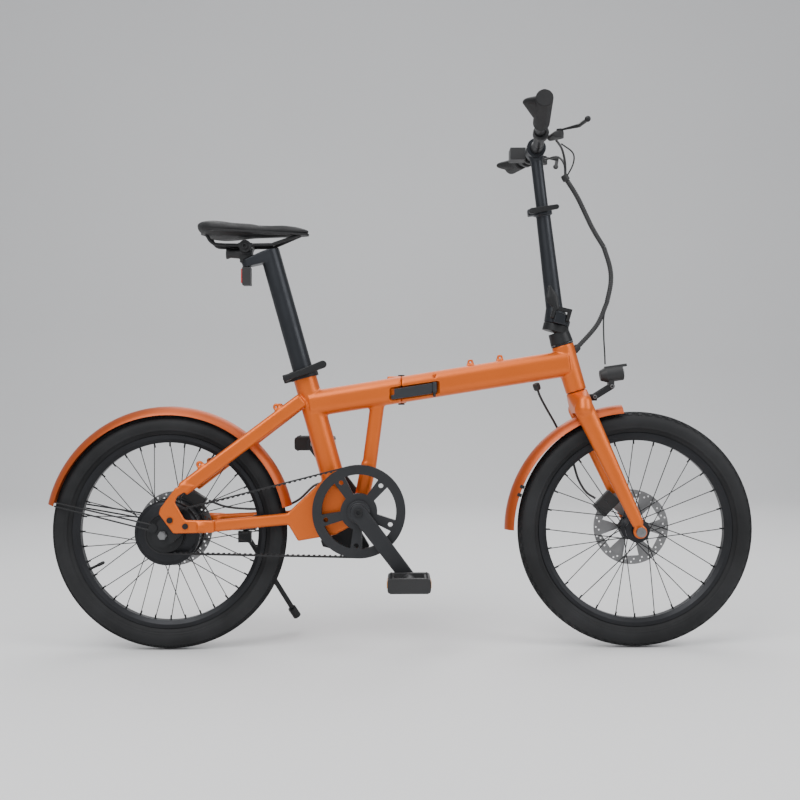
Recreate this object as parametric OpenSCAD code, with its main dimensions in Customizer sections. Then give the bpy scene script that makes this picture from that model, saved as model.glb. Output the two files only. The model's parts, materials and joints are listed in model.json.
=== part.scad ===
// Folding bicycle with 20 inch wheels, a belt drive, a motor in the rear hub and a battery in the seat post.
// X points forward, Y to the rider's left and Z up. The ground is at Z = 0.

/* [Wheels] */
// Distance between the two axles
wheelbase = 979; // [900:1:1180]
// Width of both tyres
tyre_w = 44; // [36:1:53]
// Outer radius of both rims
rim_r = 203; // [200:1:206]
// Width of both rims
rim_w = 26; // [22:1:28]
// Number of spokes in the front wheel
front_spoke_count = 28; // [20:4:36]
// Number of spokes in the rear wheel
rear_spoke_count = 36; // [28:4:36]
// Radius of a spoke
spoke_r = 1; // [0.8:0.1:1.2]
// Radius of the brake rotors
rotor_r = 80; // [70:1:80]
// Distance between the fork ends
front_gap = 100; // [95:1:110]
// Distance between the rear frame ends
rear_gap = 135; // [132:1:142]
// Radius of the front axle
front_axle_r = 4.5; // [3.5:0.1:6]
// Radius of the rear axle
rear_axle_r = 6; // [5:0.1:7]
// Radius of the hub motor
motor_r = 68; // [55:1:72]

/* [Frame] */
// Lean of the seat tube from the vertical
seat_lean = 15.4; // [13:0.1:17]
// Lean of the steering axis from the vertical
head_lean = 16.4; // [14:0.1:18]
// Bottom bracket's distance ahead of the rear axle
crank_x = 400; // [395:1:410]
// Bottom bracket's height above the ground
crank_z = 291; // [286:1:296]
// Outer diameter of the seat tube
seat_tube_d = 49.5; // [48:0.1:54]
// Outer diameter of the head tube
head_tube_d = 47; // [44:0.5:52]
// Height of the main tube's section
main_tube_h = 55; // [48:1:60]
// Width of the main tube's section
main_tube_w = 56; // [50:1:60]
// Distance of the folding seam ahead of the rear axle
fold_x = 489; // [480:1:500]
// Height of a chain stay's section
stay_h = 25; // [20:1:28]
// Width of a chain stay's or seat stay's section
stay_w = 16; // [12:1:18]
// Radius of the frame's folding pin
fold_pin_r = 5; // [4:0.1:6]
// Radius of the rack holes in the eyelets
eyelet_r = 2.6; // [2:0.1:3]
// Width of both fenders
fender_w = 56; // [50:1:60]

/* [Steering and seat] */
// Radius of the fork's steerer
steerer_r = 14.3; // [12:0.1:16]
// Outer diameter of the handle post
post_d = 36; // [34:0.5:42]
// Diameter of the sliding bar post
bar_post_d = 25.4; // [22:0.1:28]
// Lean of the handle post from the vertical
post_lean = 6.6; // [4:0.1:9]
// Length of the handle post from its hinge to its collar
post_len = 244; // [205:1:290]
// Height of the handlebar above the hinge, along the post
bar_rise = 372; // [340:1:420]
// Half of the handlebar's width
bar_half = 300; // [250:1:360]
// Diameter of the handlebar
bar_d = 22.2; // [20:0.1:25.4]
// Outer diameter of the seat post
seat_post_d = 42.5; // [40:0.1:43]
// Height of the seat post above the seat tube, along the post
seat_rise = 255; // [215:1:305]
// Length of the saddle
saddle_len = 246; // [220:1:270]
// Width of the saddle
saddle_w = 146; // [130:1:175]

/* [Drive] */
// Length of the cranks
crank_len = 170; // [142:1:175]
// Number of teeth on the front pulley
ring_teeth = 53; // [46:1:55]
// Number of teeth on the rear pulley
sprocket_teeth = 22; // [20:1:26]
// Distance of the belt from the middle of the bicycle
belt_line = 47; // [45:1:49]
// Width of the belt
belt_w = 11; // [9:1:12]
// Width of a pedal
pedal_w = 84; // [70:1:100]
// Length of a pedal
pedal_len = 86; // [75:1:100]

/* [Fits] */
// Radial clearance of turning and sliding fits
running = 0.05; // [0.02:0.01:0.09]
// Gap between pieces that move past each other
gap = 0.5; // [0.4:0.1:0.8]

/* [Hidden] */

// The rear axle stands at X = 0 while a piece is drawn, and placed() centres the bicycle on the origin.
fender_arc_r = 31;
fender_t = 2;
rear_fender_r = 263;
rear_fender_from = 11.8;
rear_fender_to = 166.8;
tail_x = -rear_fender_r * cos(180 - rear_fender_to);
tyre_r = rim_r + tyre_w;
mid_x = (wheelbase + tyre_r + tail_x) / 2;

rear_hub = [0, 0, tyre_r];
front_hub_at = [wheelbase, 0, tyre_r];
crank_at = [crank_x, 0, crank_z];

// Seat tube, whose axis passes behind the bottom bracket
seat_up = [-sin(seat_lean), 0, cos(seat_lean)];
seat_top = [284, 0, 575];
seat_bore_depth = 262;
seat_insert = 118;
seat_tube_foot = seat_top - 292 * seat_up;
post_head_at = seat_top + seat_rise * seat_up;

// Main tube, from the seat tube to the head tube
head_up = [-sin(head_lean), 0, cos(head_lean)];
head_foot = front_hub_at + [-121.1, 0, 290.5];
head_len = 101.5;
head_top = head_foot + head_len * head_up;
tube_rear = [297, 0, 513];
tube_front = head_foot + 62 * head_up;
tube_slope = (tube_front[2] - tube_rear[2]) / (tube_front[0] - tube_rear[0]);
function on_tube(x, y = 0, up = 0) = [x, y, tube_rear[2] + (x - tube_rear[0]) * tube_slope + up];
fold_at = on_tube(fold_x);
tube_corner = 20;

// Folding hinge on the left of the main tube
fold_pin_y = main_tube_w / 2 + 14;
knuckle_r = 11;
knuckle_half = 13;
knuckle_end = 29;

// Stays
stay_clear = 4;
stay_in_y = fender_w / 2 + stay_clear;
end_y = rear_gap / 2;
end_t = 6;
plate_t = 6;
yoke_half = 33;
chain_stay_y = yoke_half - stay_w / 2 - 1;

// Hubs
bearing_r = 14;
flange_w = 3;
front_rotor_y = front_gap / 2 - 15.5;
rear_rotor_y = rear_gap / 2 - 15.5;
rotor_t = 1.8;
rotor_seat_r = 17;

// Drive
belt_pitch = 11;
ring_r = ring_teeth * belt_pitch / (2 * PI);
sprocket_r = sprocket_teeth * belt_pitch / (2 * PI);
belt_gap = 0.8;
belt_t = 2.8;
tooth_h = 2.6;
tooth_w = 4.6;
driver_r = 17;
spindle_r = 12;
pedal_spindle_r = 7;
crank_turn = -53;
crank_t = 13;
crank_y = 63;
pedal_y = crank_y + crank_t + 4;
right_pedal_at = crank_at + crank_len * [cos(crank_turn), 0, sin(crank_turn)];
left_pedal_at = crank_at - crank_len * [cos(crank_turn), 0, sin(crank_turn)];

// Fork
front_fender_r = 265;
front_fender_at = front_hub_at + [-9.5, 0, -2.7];
leg_top = head_foot + [10, 42, -38];
leg_foot = front_hub_at + [0, front_gap / 2 + 7, 0];
lamp_at = head_foot + [76, 0, 36];

// Folding handle post: its hinge pin lies on the left, tilted down to the front
hinge_at = head_foot + 146.2 * head_up;
fold_tilt = 14;
stem_pin_y = 33;
stem_pin_r = 4;
post_up = [-sin(post_lean), 0, cos(post_lean)];
post_top = hinge_at + post_len * post_up;
bar_at = hinge_at + bar_rise * post_up;
bar_end = bar_at + [-19.6, 0, 27.6];
bar_bend_y = 55;
grip_len = 130;
grip_from = bar_at + [0, bar_bend_y, 0];
grip_to = bar_end + [0, bar_half, 0];
grip_dir = (grip_to - grip_from) / norm(grip_to - grip_from);
latch_pin_y = -26;
latch_pin_up = 14;

module placed() translate([-mid_x, 0, 0]) children();

// A round bar from a to b, straight or tapered
module rod(a, b, r, r2 = undef) {
    d = b - a;
    translate(a) rotate([0, acos(d[2] / norm(d)), atan2(d[1], d[0])])
        cylinder(h = norm(d), r1 = r, r2 = is_undef(r2) ? r : r2, $fn = 48);
}

// A bar with rounded corners from a to b: w across, h along the frame's plane
module bar(a, b, w, h, c) {
    d = b - a;
    translate(a) rotate([0, acos(d[2] / norm(d)), atan2(d[1], d[0])])
        linear_extrude(norm(d)) rounded(h, w, c);
}

module rounded(w, h, c) {
    square([w, h - 2 * c], center = true);
    square([w - 2 * c, h], center = true);
    for (x = [-1, 1], y = [-1, 1]) translate([x * (w / 2 - c), y * (h / 2 - c)]) circle(r = c, $fn = 32);
}

// A disc whose axis runs across the bicycle, from y0 to y1
module disc(at, r, y0, y1, fn = 64)
    translate([at[0], y0, at[2]]) rotate([-90, 0, 0]) cylinder(h = y1 - y0, r = r, $fn = fn);

// A flat plate with an outline of X and Z points, from y0 to y1
module plate(points, y0, y1)
    translate([0, y1, 0]) rotate([90, 0, 0]) linear_extrude(y1 - y0) polygon(points);

// A ring about an axle, from a section of radius and Y
module ring(at, fn = 96) translate(at) rotate([-90, 0, 0]) rotate_extrude($fn = fn) children();

module both_sides() {
    children();
    mirror([0, 1, 0]) children();
}

// A cable of n sides swept along its points
function cable_dir(p, i) = let (d = p[min(i + 1, len(p) - 1)] - p[max(i - 1, 0)]) d / norm(d);
function cable_ring(p, i, r, n) = let (
    t = cable_dir(p, i),
    side = cross(t, [0.13, 1, 0.07]),
    u = side / norm(side),
    v = cross(t, u)
) [for (k = [0:n - 1]) p[i] + r * (cos(360 * k / n) * u + sin(360 * k / n) * v)];

module cable(p, r, n = 8) {
    last = len(p) - 1;
    polyhedron(
        points = [for (i = [0:last], q = cable_ring(p, i, r, n)) q],
        faces = concat(
            [[for (k = [0:n - 1]) k]],
            [for (i = [0:last - 1], k = [0:n - 1])
                [i * n + k, (i + 1) * n + k, (i + 1) * n + (k + 1) % n, i * n + (k + 1) % n]],
            [[for (k = [n - 1:-1:0]) last * n + k]]));
}

// Points on a smooth curve through a cable's own points, m to each span
function curve(p, m) = [for (i = [0:len(p) - 2], j = [0:m - 1]) spline(p, i, j / m), p[len(p) - 1]];
function spline(p, i, t) = let (
    a = p[max(i - 1, 0)], b = p[i], c = p[i + 1], d = p[min(i + 2, len(p) - 1)]
) 0.5 * (2 * b + (c - a) * t + (2 * a - 5 * b + 4 * c - d) * t * t + (3 * b - a - 3 * c + d) * t * t * t);

// ---- Rear frame ----

module rear_frame() color("darkorange") difference() {
    union() {
        rod(seat_tube_foot, seat_top, seat_tube_d / 2);
        intersection() {
            bar(tube_rear, on_tube(fold_x + 40), main_tube_w, main_tube_h, tube_corner);
            translate([0, -100, 300]) cube([fold_x - gap / 2, 200, 400]);
        }
        // Strut from the main tube down to the bottom bracket
        bar(on_tube(440, 0, -10), crank_at + [20, 0, 88], 34, 30, 12);
        bar(crank_at + [20, 0, 98], crank_at, 36, 32, 12);
        disc(crank_at, 23, -34, 34);
        plate([[252, 262], [252, 288], [320, 352], [345, 350], [400, 312], [400, 268], [350, 241], [272, 228]],
            -yoke_half, yoke_half);
        fold_knuckles([-1, 1], -1);
    }
    seat_bore();
    disc(crank_at, 17, -60, 60);
    // Slot for the clamp at the top of the seat tube
    translate(seat_top) rotate([0, -seat_lean, 0]) translate([-30, -1, -32]) cube([30, 2, 40]);
    fold_pin_bore();
    latch_recess();
}

module seat_bore() translate(seat_top - seat_bore_depth * seat_up)
    rotate([0, -seat_lean, 0]) cylinder(h = seat_bore_depth + 1, r = seat_post_d / 2 + running, $fn = 96);

module fold_pin_bore() translate([fold_x, fold_pin_y, 400]) cylinder(h = 300, r = fold_pin_r + running, $fn = 48);

// Knuckles of the folding hinge: side is -1 for the rear frame's and 1 for the front frame's
module fold_knuckles(places, side) for (k = places)
    translate([fold_x, fold_pin_y, fold_at[2]]) {
        low = k == 0 ? -knuckle_half + gap : k > 0 ? knuckle_half : -knuckle_end;
        high = k == 0 ? knuckle_half - gap : k > 0 ? knuckle_end : -knuckle_half;
        translate([0, 0, low]) cylinder(h = high - low, r = knuckle_r, $fn = 48);
        translate([side > 0 ? 0 : -30, -26, low]) cube([30, 26 + knuckle_r - 2, high - low]);
    }

module latch_recess() translate([0, -main_tube_w / 2 - 1, 0])
    plate([[465, 519], [465, 546], [568, 560], [568, 533]], 0, 9);

module rear_stays() color("darkorange") difference() {
    both_sides() stay_pair();
    seat_bore();
}

module stay_pair() {
    stay_from = [262, chain_stay_y, 275];
    stay_to = [96, end_y - 1, 264];
    bar(stay_from, stay_to, stay_w, stay_h, 7);
    rod(stay_to, [70, end_y + 8, 263], stay_h / 2 - 1);
    upper_from = [282, seat_tube_d / 2 - 2, 523];
    upper_to = [40, end_y + 3, 340];
    bar(upper_from, upper_to, stay_w, 30, 7);
    // Rack eyelets
    for (t = [0.17, 0.81]) {
        at = upper_from + t * (upper_to - upper_from);
        difference() {
            disc([at[0] - 12, 0, at[2] + 16], 8, at[1] - 4, at[1] + 4, 48);
            disc([at[0] - 12, 0, at[2] + 16], eyelet_r, at[1] - 5, at[1] + 5, 32);
        }
    }
}

module dropouts() color("darkorange") both_sides() difference() {
    plate([[-8, 291], [-5, 302], [26, 344], [46, 352], [64, 347], [31, 326], [26, 314], [46, 279],
        [106, 277], [106, 252], [22, 250]], end_y + end_t, end_y + end_t + plate_t);
    for (at = [[15.4, 278], [47, 265.6]]) disc([at[0], 0, at[1]], 3, 0, 100, 32);
}

// Black inserts that hold the axle, and the bolts that fix them to the frame ends
module dropout_bolts() color("dimgray") both_sides() {
    difference() {
        plate([[-22, 236], [-22, 262], [0, 285], [14, 292], [50, 277], [54, 262], [20, 232], [0, 222], [-14, 226]],
            end_y, end_y + end_t);
        disc(rear_hub, rear_axle_r, 0, 100, 48);
        for (at = [[15.4, 278], [47, 265.6]]) disc([at[0], 0, at[1]], 3, 0, 100, 32);
    }
    for (at = [[15.4, 278], [47, 265.6]]) {
        disc([at[0], 0, at[1]], 3, end_y, end_y + end_t + plate_t, 32);
        disc([at[0], 0, at[1]], 6, end_y + end_t + plate_t, end_y + end_t + plate_t + 3, 32);
    }
}

module hinge_pin() color("dimgray") translate([fold_x, fold_pin_y, fold_at[2]]) {
    translate([0, 0, -knuckle_end]) cylinder(h = 2 * knuckle_end, r = fold_pin_r, $fn = 48);
    for (z = [-knuckle_end - 3, knuckle_end]) translate([0, 0, z]) cylinder(h = 3, r = 7, $fn = 48);
}

module rear_axle() color("silver") both_sides() {
    disc(rear_hub, rear_axle_r, -0.01, end_y + end_t + 12, 48);
    disc(rear_hub, 9.5, end_y + end_t, end_y + end_t + 7, 6);
    disc(rear_hub, 7.5, end_y + end_t + 7, end_y + end_t + 11, 48);
}

module bottom_bracket() color("dimgray") both_sides() difference() {
    union() {
        disc(crank_at, 17, 20, 34);
        disc(crank_at, 21, 34, 36.5);
    }
    disc(crank_at, spindle_r + running, 0, 60);
}

// A fender's arched band round a wheel
module fender_band(at, r, from, to) translate(at) rotate([-90, 0, 0])
    rotate([0, 0, -to]) rotate_extrude(angle = to - from, $fn = 128)
        difference() {
            translate([r - fender_arc_r, 0]) circle(r = fender_arc_r, $fn = 96);
            translate([r - fender_arc_r, 0]) circle(r = fender_arc_r - fender_t, $fn = 96);
            translate([r - 18 - 2 * fender_arc_r, -fender_arc_r - 1])
                square([2 * fender_arc_r, 2 * fender_arc_r + 2]);
        }

module rear_fender() color("chocolate") fender_band(rear_hub, rear_fender_r, rear_fender_from, rear_fender_to);

module fender_stays() color("dimgray") both_sides() {
    rod([-232, fender_w / 2 - 1, 310], [-20, end_y + end_t + 2.5, 268], 1.7);
    rod([-236, fender_w / 2 - 1, 303], [-20, end_y + end_t + 2.5, 256], 1.7);
    disc([-20, 0, 262], 9, end_y + end_t + 0.1, end_y + end_t + 4, 32);
}

module rear_caliper() color("dimgray") caliper(rear_hub, 57, rear_rotor_y, end_y - 2);

// A brake caliper whose slot stands round the rotor, at an angle from the hub
module caliper(hub, turn, rotor_y, outer_y) translate(hub) rotate([0, 90 - turn, 0]) difference() {
    union() {
        translate([-24, rotor_y - 9, rotor_r - 24]) cube([48, outer_y - rotor_y + 9, 34]);
        for (x = [-15, 15]) translate([x, rotor_y + 4, rotor_r - 8]) rotate([-90, 0, 0])
            cylinder(h = outer_y - rotor_y - 3, r = 11, $fn = 32);
    }
    translate([-40, rotor_y - 1, 0]) cube([80, rotor_t + 2, rotor_r + 2]);
}

rear_hose_points = [[318, 30, 344], [300, 30, 338], [270, 32, 310], [240, 36, 296], [200, 43, 289], [150, 54, 288],
    [110, 58, 292], [88, 59, 299], [71, 58, 306]];
module rear_brake_hose() color("black") cable(curve(rear_hose_points, 4), 2.5);

module seat_collar() color("dimgray") translate(seat_top) rotate([0, -seat_lean, 0]) difference() {
    union() {
        translate([0, 0, -8]) cylinder(h = 20, r = seat_tube_d / 2 + 5, $fn = 96);
        translate([-44, -12, -7]) cube([24, 24, 18]);
    }
    translate([0, 0, -9]) cylinder(h = 9, r = seat_tube_d / 2, $fn = 96);
    translate([0, 0, -10]) cylinder(h = 30, r = seat_post_d / 2 + running, $fn = 96);
    translate([-50, -1.5, -9]) cube([50, 3, 30]);
    translate([-36, -40, 2]) rotate([-90, 0, 0]) cylinder(h = 80, r = 3 + running, $fn = 32);
}

// Quick release lever: its skewer turns in the collar's lugs
module seat_lever() color("dimgray") translate(seat_top) rotate([0, -seat_lean, 0]) {
    translate([-36, -19, 2]) rotate([-90, 0, 0]) cylinder(h = 33, r = 3, $fn = 32);
    translate([-36, 12 + gap, 2]) rotate([-90, 0, 0]) cylinder(h = 6, r = 7, $fn = 48);
    translate([-36, -19, 2]) rotate([-90, 0, 0]) cylinder(h = 7 - gap, r = 8, $fn = 48);
    hull() {
        translate([-36, -38, 2]) rotate([-90, 0, 0]) cylinder(h = 19, r = 6, $fn = 32);
        translate([-20, -42, 3]) rotate([-90, 0, 0]) cylinder(h = 8, r = 6, $fn = 32);
    }
    hull() {
        translate([-20, -42, 3]) rotate([-90, 0, 0]) cylinder(h = 8, r = 6, $fn = 32);
        translate([46, -40, 9]) rotate([-90, 0, 0]) cylinder(h = 8, r = 8, $fn = 32);
    }
}

kickstand_at = [150, 72, 232];
module kickstand_bracket() color("dimgray") difference() {
    union() {
        translate([118, 42, 243]) cube([56, 24, 9]);
        translate([136, 46, 216]) cube([28, 13, 24]);
    }
    disc(kickstand_at, 4 + running, 40, 90, 32);
    rod([262, chain_stay_y, 275] , [96, end_y - 1, 264], 12.5);
}

module kickstand_leg() color("dimgray") {
    disc(kickstand_at, 4, 46, 70, 32);
    disc(kickstand_at, 10, 59 + gap, 72, 48);
    rod(kickstand_at + [0, -4, 0], [246, 150, 48], 5.5);
    rod([241, 146, 56], [252, 156, 36], 9);
}

module rest_foot() color("dimgray") difference() {
    plate([[352, 240], [318, 226], [322, 214], [352, 206], [412, 200], [420, 214], [392, 262]], -10, 10);
    disc(crank_at, 23, -40, 40);
    plate([[252, 262], [252, 288], [320, 352], [345, 350], [400, 312], [400, 268], [350, 241], [272, 228]],
        -yoke_half, yoke_half);
}

// ---- Drive ----

module belt_loop(out) hull() {
    translate([rear_hub[0], rear_hub[2]]) circle(r = sprocket_r + out, $fn = 64);
    translate([crank_at[0], crank_at[2]]) circle(r = ring_r + out, $fn = 96);
}

module drive_belt() color("black") {
    d = crank_at - rear_hub;
    span = norm(d);
    rise = atan2(d[2], d[0]);
    fan = asin((ring_r - sprocket_r) / span);
    run = span * cos(fan);
    translate([0, -belt_line + belt_w / 2, 0]) rotate([90, 0, 0]) linear_extrude(belt_w) {
        difference() {
            belt_loop(belt_gap + belt_t);
            belt_loop(belt_gap);
        }
        for (side = [-1, 1]) translate([rear_hub[0], rear_hub[2]]) rotate(rise + side * fan)
            for (x = [2 * belt_pitch:belt_pitch:run - 2.3 * belt_pitch])
                translate([x, side * (sprocket_r + belt_gap + belt_t / 2 - tooth_h / 2)])
                    square([tooth_w, belt_t / 2 + tooth_h], center = true);
    }
}

module rear_sprocket() color("silver") {
    y = -belt_line;
    difference() {
        union() {
            disc(rear_hub, sprocket_r, y - belt_w / 2 - 0.6, y + belt_w / 2 + 0.6, 96);
            disc(rear_hub, sprocket_r + 3, y + belt_w / 2 + 0.6, y + belt_w / 2 + 2, 96);
            disc(rear_hub, driver_r, y - 8, -38 - gap, 64);
            disc(rear_hub, 11, -end_y + gap, y - 7, 64);
        }
        disc(rear_hub, rear_axle_r + running, -end_y, 0, 96);
    }
}

module chainring() color("dimgray") {
    y = -belt_line;
    difference() {
        union() {
            disc(crank_at, ring_r, y - belt_w / 2 - 0.6, y + belt_w / 2 + 0.6, 128);
            disc(crank_at, ring_r + 3.5, y - belt_w / 2 - 2.4, y - belt_w / 2 - 0.6, 128);
        }
        disc(crank_at, spindle_r, -90, 0, 64);
        for (k = [0:4]) translate(crank_at) rotate([0, -13.4 - 72 * k, 0]) translate(-crank_at) ring_window();
        // Small holes between the windows
        for (k = [0:4]) translate(crank_at) rotate([0, -49.4 - 72 * k, 0]) disc([70, 0, 0], 5, -90, 0, 32);
    }
}

module ring_window() plate(concat(
    [for (a = [-27:6:27]) [crank_at[0] + 77 * cos(a), crank_at[2] + 77 * sin(a)]],
    [for (a = [22:-11:-22]) [crank_at[0] + 38 * cos(a), crank_at[2] + 38 * sin(a)]]), -80, -20);

module crank_arm(at) hull() {
    disc(crank_at, 17, 0, crank_t, 32);
    disc(at, 15, 2, crank_t, 32);
}

module crank_arms() color("dimgray") {
    difference() {
        union() {
            disc(crank_at, spindle_r, -crank_y - crank_t, crank_y + crank_t, 64);
            translate([0, -crank_y - crank_t, 0]) crank_arm(right_pedal_at);
            translate([0, crank_y, 0]) mirror([0, 1, 0]) translate([0, -crank_t, 0]) crank_arm(left_pedal_at);
            disc(crank_at, 24, -crank_y, -belt_line - belt_w / 2 - 2.4, 64);
        }
        disc(right_pedal_at, pedal_spindle_r, -100, 0, 48);
        disc(left_pedal_at, pedal_spindle_r, 0, 100, 48);
    }
}

module pedal_spindles() color("silver") {
    disc(right_pedal_at, pedal_spindle_r, -pedal_y - pedal_w + 10, -crank_y, 48);
    disc(left_pedal_at, pedal_spindle_r, crank_y, pedal_y + pedal_w - 10, 48);
}

module pedal(at) difference() {
    translate(at) {
        translate([0, 0, 0]) rotate([-90, 0, 0]) cylinder(h = pedal_w, r = 12, $fn = 48);
        for (y = [0, pedal_w - 12]) translate([0, y, 0]) rotate([-90, 0, 0]) linear_extrude(12)
            rounded(pedal_len, 30, 8);
        for (x = [-1, 1]) translate([x * (pedal_len / 2 - 7) - 6, 0, -13]) cube([12, pedal_w, 26]);
    }
    disc(at, pedal_spindle_r + running, at[1] - 1, at[1] + pedal_w - 9.5, 48);
}

module right_pedal() color("dimgray") mirror([0, 1, 0]) pedal(right_pedal_at + [0, pedal_y, 0]);
module left_pedal() color("dimgray") pedal(left_pedal_at + [0, pedal_y, 0]);

// ---- Seat ----

module seat_post() color("slategray") translate(seat_top) rotate([0, -seat_lean, 0]) difference() {
    union() {
        translate([0, 0, -seat_insert]) cylinder(h = seat_insert + seat_rise + 4, r = seat_post_d / 2, $fn = 96);
        hull() {
            translate([0, 0, seat_rise - 6]) cylinder(h = 24, r = seat_post_d / 2, $fn = 32);
            translate([-48, 0, seat_rise - 4]) cylinder(h = 16, r = 15, $fn = 32);
        }
    }
    translate([0, 0, -seat_insert - 1]) cylinder(h = seat_insert + seat_rise - 30, r = seat_post_d / 2 - 2.5, $fn = 96);
}

module battery() color("dimgray") translate(seat_top) rotate([0, -seat_lean, 0])
    translate([0, 0, -seat_insert + 4]) cylinder(h = seat_insert + seat_rise - 50, r = seat_post_d / 2 - 3.2, $fn = 64);

clamp_at = [164, 0, 844];
module saddle_clamp() color("dimgray") difference() {
    union() {
        disc(clamp_at, 13, -26, 26, 48);
        translate(clamp_at + [-15, -26, -2]) cube([30, 52, 9]);
        // Cradle that stands on the head of the seat post
        translate(clamp_at + [-13, -12, -32]) cube([26, 24, 32]);
    }
    both_sides() rod(clamp_at + [-40, 22, 3], clamp_at + [40, 22, 3], rail_r);
    translate(seat_top) rotate([0, -seat_lean, 0]) hull() {
        translate([0, 0, seat_rise - 6]) cylinder(h = 24, r = seat_post_d / 2, $fn = 32);
        translate([-48, 0, seat_rise - 4]) cylinder(h = 16, r = 15, $fn = 32);
    }
}

rail_r = 3.5;
module saddle_rails() color("dimgray") both_sides() {
    points = [[84, 30, 869], [96, 26, 851], [122, 22, 847], [210, 22, 847], [226, 19, 850], [278, 8, 870]];
    cable(curve(points, 3), rail_r, 12);
}

saddle_tail = [58, 0, 888];
module saddle_shell() color("black") hull() {
    translate(saddle_tail + [22, 0, -17]) cylinder(h = 4, r = 12, $fn = 24);
    both_sides() translate(saddle_tail + [52, saddle_w / 2 - 30, -17]) cylinder(h = 4, r = 24, $fn = 24);
    translate(saddle_tail + [saddle_len - 22, 0, -20]) cylinder(h = 4, r = 14, $fn = 24);
}

module saddle_cover() color("black") hull() {
    both_sides() translate(saddle_tail + [42, saddle_w / 2 - 34, -13 + gap]) cylinder(h = 22, r1 = 34, r2 = 24, $fn = 32);
    translate(saddle_tail + [18, 0, -8]) cylinder(h = 22, r = 16, $fn = 32);
    translate(saddle_tail + [saddle_len - 21, 0, -15 + gap]) cylinder(h = 12, r1 = 20, r2 = 16, $fn = 32);
}

module rear_light() color("firebrick") {
    translate([156, -14, 764]) cube([17, 28, 38]);
    translate([163, -6, 801]) cube([6, 12, 9]);
}

// ---- Wheels ----

bead = 3;
well_r = rim_r - 5;
hook_in = rim_w / 2 - 2.5;
module tyre(at) color("black") ring(at, 128) {
    crown = tyre_r - tyre_w / 2;
    difference() {
        union() {
            translate([crown, 0]) circle(r = tyre_w / 2, $fn = 96);
            translate([(well_r + crown) / 2, 0]) square([crown - well_r, 2 * hook_in], center = true);
        }
        translate([crown, 0]) circle(r = tyre_w / 2 - bead - 1, $fn = 96);
        translate([crown / 2, 0]) square([crown, 2 * (hook_in - bead)], center = true);
        // Clear of the rim's hooks
        for (s = [-1, 1]) translate([rim_r / 2, s * (hook_in + 10)]) square([rim_r, 20], center = true);
    }
}

module rim(at) color("dimgray") ring(at, 128) polygon([
    [rim_r, rim_w / 2], [rim_r, hook_in], [well_r, hook_in], [well_r, -hook_in], [rim_r, -hook_in],
    [rim_r, -rim_w / 2], [rim_r - 8, -rim_w / 2], [rim_r - 16, -8], [rim_r - 16, 8], [rim_r - 8, rim_w / 2]]);

// Spokes of a wheel: each leads or trails from its flange to the rim, clear of the spokes that it crosses
module spokes(at, count, flange_r, right_y, left_y, lead) color("dimgray") for (i = [0:count - 1]) {
    side = i % 2 == 0 ? -1 : 1;
    turn = i % 4 < 2 ? -1 : 1;
    a = 360 * i / count;
    lean = 1.3 * turn;
    y = (side < 0 ? right_y : left_y) + lean;
    translate(at) rod2(
        [flange_r * cos(a + turn * lead), y, flange_r * sin(a + turn * lead)],
        [(rim_r - 15.5) * cos(a), side * 2.2 + lean, (rim_r - 15.5) * sin(a)], spoke_r);
}

module rod2(a, b, r) {
    d = b - a;
    translate(a) rotate([0, acos(d[2] / norm(d)), atan2(d[1], d[0])]) cylinder(h = norm(d), r = r, $fn = 6);
}

module rotor(at, y) color("silver") difference() {
    disc(at, rotor_r, y, y + rotor_t, 128);
    disc(at, rotor_seat_r, y - 1, y + 3, 64);
    for (k = [0:5]) translate(at) rotate([0, 60 * k, 0]) translate([0, y + 3, 0]) rotate([90, 0, 0])
        linear_extrude(5) polygon([[29 * cos(7), 29 * sin(7)], [rotor_r - 17, 16], [(rotor_r - 17) * cos(45),
            (rotor_r - 17) * sin(45)], [29 * cos(48), 29 * sin(48)]]);
    for (k = [0:23]) for (j = [0:1]) disc(at + (rotor_r - 5 - 6 * j)
        * [cos(15 * k + 5 * j), 0, sin(15 * k + 5 * j)], 2, y - 1, y + 3, 8);
}

module rear_tyre() tyre(rear_hub);
module rear_rim() rim(rear_hub);
module rear_spokes() spokes(rear_hub, rear_spoke_count, motor_r - 2, -28, 30, 14);
module rear_rotor() rotor(rear_hub, rear_rotor_y);
module front_tyre() tyre(front_hub_at);
module front_rim() rim(front_hub_at);
module front_spokes() spokes(front_hub_at, front_spoke_count, 23, -32, 22, 52);
module front_rotor() rotor(front_hub_at, front_rotor_y);

// Hub motor, with its bearings' bore and the driver that the rear pulley turns on
module motor_hub() color("dimgray") ring(rear_hub) polygon([
    [rear_axle_r + running, -38], [40, -38], [motor_r - 8, -34], [motor_r - 4, -28 - flange_w], [motor_r, -28 - flange_w],
    [motor_r, -28 + flange_w], [motor_r - 4, -28 + flange_w], [motor_r - 4, 30 - flange_w],
    [motor_r, 30 - flange_w], [motor_r, 30 + flange_w], [motor_r - 4, 30 + flange_w], [motor_r - 9, 38],
    [34, 42], [24, 44], [24, rear_rotor_y], [rotor_seat_r, rear_rotor_y], [rotor_seat_r, rear_rotor_y + 3],
    [11, rear_rotor_y + 3], [11, end_y - gap], [rear_axle_r + running, end_y - gap]]);

module front_hub() color("dimgray") {
    e = front_gap / 2 - gap;
    ring(front_hub_at) polygon([
        [front_axle_r + running, -e], [12, -e], [bearing_r, -38], [25, -32 - flange_w], [25, -32 + flange_w],
        [15, -24], [15, 14], [25, 22 - flange_w], [25, 22 + flange_w], [22, 28], [22, front_rotor_y],
        [rotor_seat_r, front_rotor_y], [rotor_seat_r, front_rotor_y + 3], [12, front_rotor_y + 3], [12, e],
        [front_axle_r + running, e]]);
}

// ---- Front frame ----

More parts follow.
